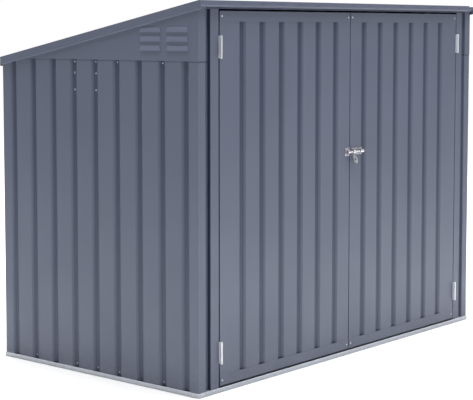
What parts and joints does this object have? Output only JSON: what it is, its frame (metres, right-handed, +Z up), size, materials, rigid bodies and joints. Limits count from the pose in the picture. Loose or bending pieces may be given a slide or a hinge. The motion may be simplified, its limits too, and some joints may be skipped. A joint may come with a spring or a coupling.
{
  "type": "bin store",
  "caption": "Low pent-roofed bin store of grooved steel sheet on a base rail, with louvred gables and hinged front doors held by a sliding bolt.",
  "frame": {"origin": "on the ground, under the middle of the store's overall box", "axes": "+X to the right along the front, -Y out of the doors, +Z up"},
  "size_m": [1.744, 1.0168, 1.345],
  "materials": {
    "anthracite_paint": "satin anthracite grey paint on steel sheet",
    "galvanised_rail": "bright galvanised steel",
    "hinge_steel": "bright zinc plate",
    "nickel_plate": "polished nickel plate"
  },
  "bodies": {
    "store": {"base_rail_front": "galvanised_rail", "base_rail_left": "galvanised_rail", "base_rail_right": "galvanised_rail", "base_rail_back": "galvanised_rail", "front_post_left": "anthracite_paint", "front_post_right": "anthracite_paint", "door_jamb_left": "anthracite_paint", "door_jamb_right": "anthracite_paint", "rear_post_left": "anthracite_paint", "rear_post_right": "anthracite_paint", "side_wall_left": "anthracite_paint", "side_wall_right": "anthracite_paint", "back_wall": "anthracite_paint", "gable_panel_left": "anthracite_paint", "gable_panel_right": "anthracite_paint", "wall_top_rail_left": "galvanised_rail", "wall_top_rail_right": "galvanised_rail", "back_top_rail": "galvanised_rail", "door_header": "anthracite_paint", "roof_sheet": "anthracite_paint", "roof_trim_front": "anthracite_paint", "roof_trim_back": "anthracite_paint", "roof_trim_left": "anthracite_paint", "roof_trim_right": "anthracite_paint", "left_jamb_hinge_leaves": "hinge_steel", "right_jamb_hinge_leaves": "hinge_steel"},
    "left_door": {"left_door_panel": "anthracite_paint", "left_door_top_rail": "anthracite_paint", "left_door_bottom_rail": "anthracite_paint", "left_door_hinge_stile": "anthracite_paint", "left_door_meeting_stile": "anthracite_paint", "left_door_hinge_leaves": "hinge_steel", "bolt_keep": "nickel_plate"},
    "right_door": {"right_door_panel": "anthracite_paint", "right_door_top_rail": "anthracite_paint", "right_door_bottom_rail": "anthracite_paint", "right_door_hinge_stile": "anthracite_paint", "right_door_meeting_stile": "anthracite_paint", "right_door_hinge_leaves": "hinge_steel", "bolt_plate": "nickel_plate"},
    "bolt": {"bolt_rod": "nickel_plate"},
    "handle": {"bolt_handle": "nickel_plate"}
  },
  "joints": [
    {"name": "left_door_hinge", "type": "hinge", "parent": "store", "child": "left_door", "pos_m": [-0.7575, -0.49756, 0.663], "axis": [0, 0, -1], "range_deg": [0, 170]},
    {"name": "right_door_hinge", "type": "hinge", "parent": "store", "child": "right_door", "pos_m": [0.7575, -0.49756, 0.663], "axis": [0, 0, 1], "range_deg": [0, 170]},
    {"name": "bolt_slide", "type": "slide", "parent": "right_door", "child": "bolt", "axis": [1, 0, 0], "range_m": [0, 0.028]},
    {"name": "handle_turn", "type": "hinge", "parent": "bolt", "child": "handle", "pos_m": [0.02, -0.49656, 0.783], "axis": [-1, 0, 0], "range_deg": [0, 90]}
  ]
}
